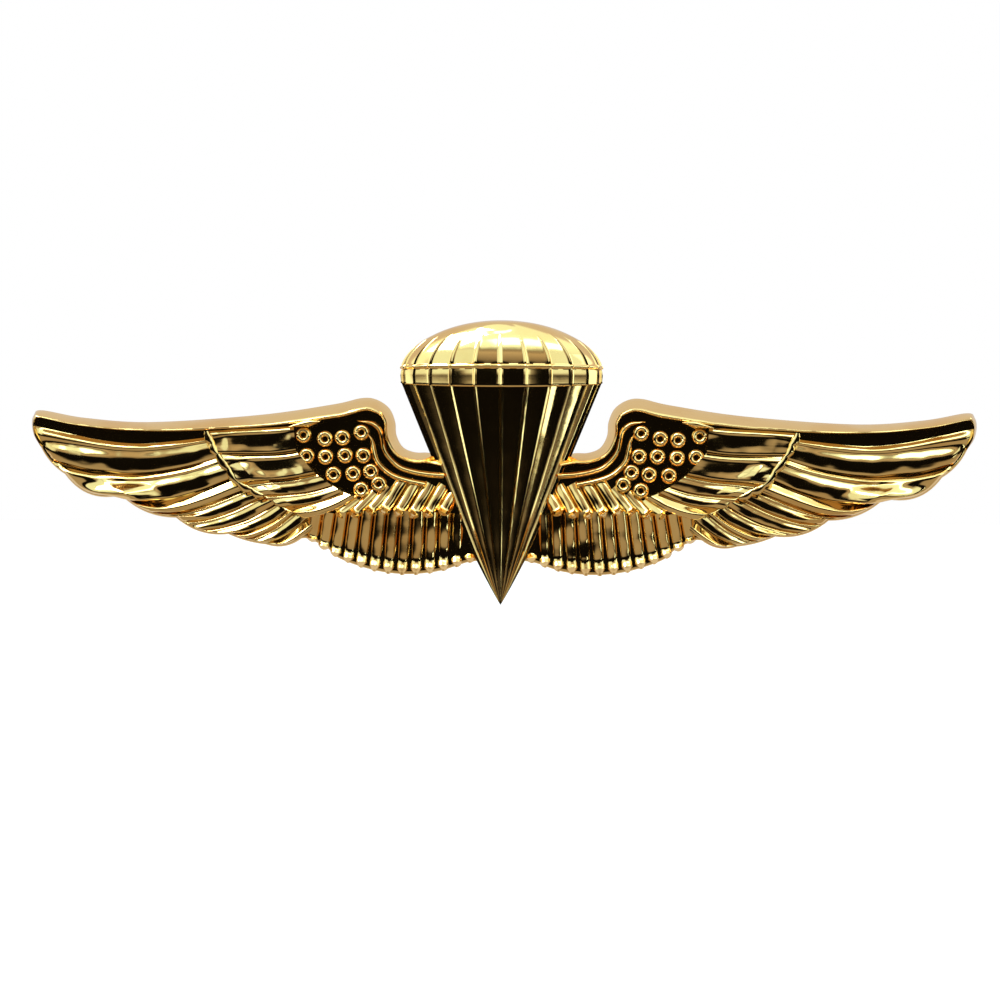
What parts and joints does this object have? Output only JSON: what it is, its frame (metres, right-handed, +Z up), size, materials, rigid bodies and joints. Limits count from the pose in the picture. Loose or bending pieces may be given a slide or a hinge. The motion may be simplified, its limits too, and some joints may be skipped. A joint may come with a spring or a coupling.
{
  "type": "parachutist wings badge",
  "caption": "Struck metal badge of outspread feathered wings with an open parachute, worn through cloth on rear posts held by spring pinch clutches.",
  "frame": {"origin": "on the badge's flat back, midway between the two posts", "axes": "+Z up as worn, +X to the viewer's right, +Y out of the back along the posts, so the badge faces -Y"},
  "size_m": [0.07, 0.0118, 0.021],
  "materials": {
    "polished_gold": "bright gold plate, mirror polished",
    "gold_fittings": "gold plate, satin",
    "clutch_brass": "stamped brass, satin bright",
    "spring_steel": "drawn wire"
  },
  "bodies": {
    "badge": {"wings_plate": "polished_gold", "parachute": "polished_gold", "post_left": "gold_fittings", "solder_left": "gold_fittings", "post_right": "gold_fittings", "solder_right": "gold_fittings"},
    "left_clutch": {"clutch_base_left": "clutch_brass", "clutch_cover_left": "clutch_brass", "clutch_spring_left": "spring_steel"},
    "left_outer_finger": {"finger_left_outer": "clutch_brass"},
    "left_inner_finger": {"finger_left_inner": "clutch_brass"},
    "right_clutch": {"clutch_base_right": "clutch_brass", "clutch_cover_right": "clutch_brass", "clutch_spring_right": "spring_steel"},
    "right_outer_finger": {"finger_right_outer": "clutch_brass"},
    "right_inner_finger": {"finger_right_inner": "clutch_brass"}
  },
  "joints": [
    {"name": "left_clutch_pull", "type": "slide", "parent": "badge", "child": "left_clutch", "axis": [0, 1, 0], "range_m": [-0.0009, 0.0075]},
    {"name": "left_outer_finger_pinch", "type": "hinge", "parent": "left_clutch", "child": "left_outer_finger", "pos_m": [-0.014, 0.0051, 0], "axis": [0, 0, -1], "range_deg": [0, 15], "stiffness_Nm_per_rad": 0.05, "springref_deg": -8.59, "deforming": ["clutch_spring_left"]},
    {"name": "left_inner_finger_pinch", "type": "hinge", "parent": "left_clutch", "child": "left_inner_finger", "pos_m": [-0.01, 0.0051, 0], "axis": [0, 0, 1], "range_deg": [0, 15], "stiffness_Nm_per_rad": 0.05, "springref_deg": -8.59, "deforming": ["clutch_spring_left"]},
    {"name": "right_clutch_pull", "type": "slide", "parent": "badge", "child": "right_clutch", "axis": [0, 1, 0], "range_m": [-0.0009, 0.0075]},
    {"name": "right_outer_finger_pinch", "type": "hinge", "parent": "right_clutch", "child": "right_outer_finger", "pos_m": [0.014, 0.0051, 0], "axis": [0, 0, 1], "range_deg": [0, 15], "stiffness_Nm_per_rad": 0.05, "springref_deg": -8.59, "deforming": ["clutch_spring_right"]},
    {"name": "right_inner_finger_pinch", "type": "hinge", "parent": "right_clutch", "child": "right_inner_finger", "pos_m": [0.01, 0.0051, 0], "axis": [0, 0, -1], "range_deg": [0, 15], "stiffness_Nm_per_rad": 0.05, "springref_deg": -8.59, "deforming": ["clutch_spring_right"]}
  ]
}
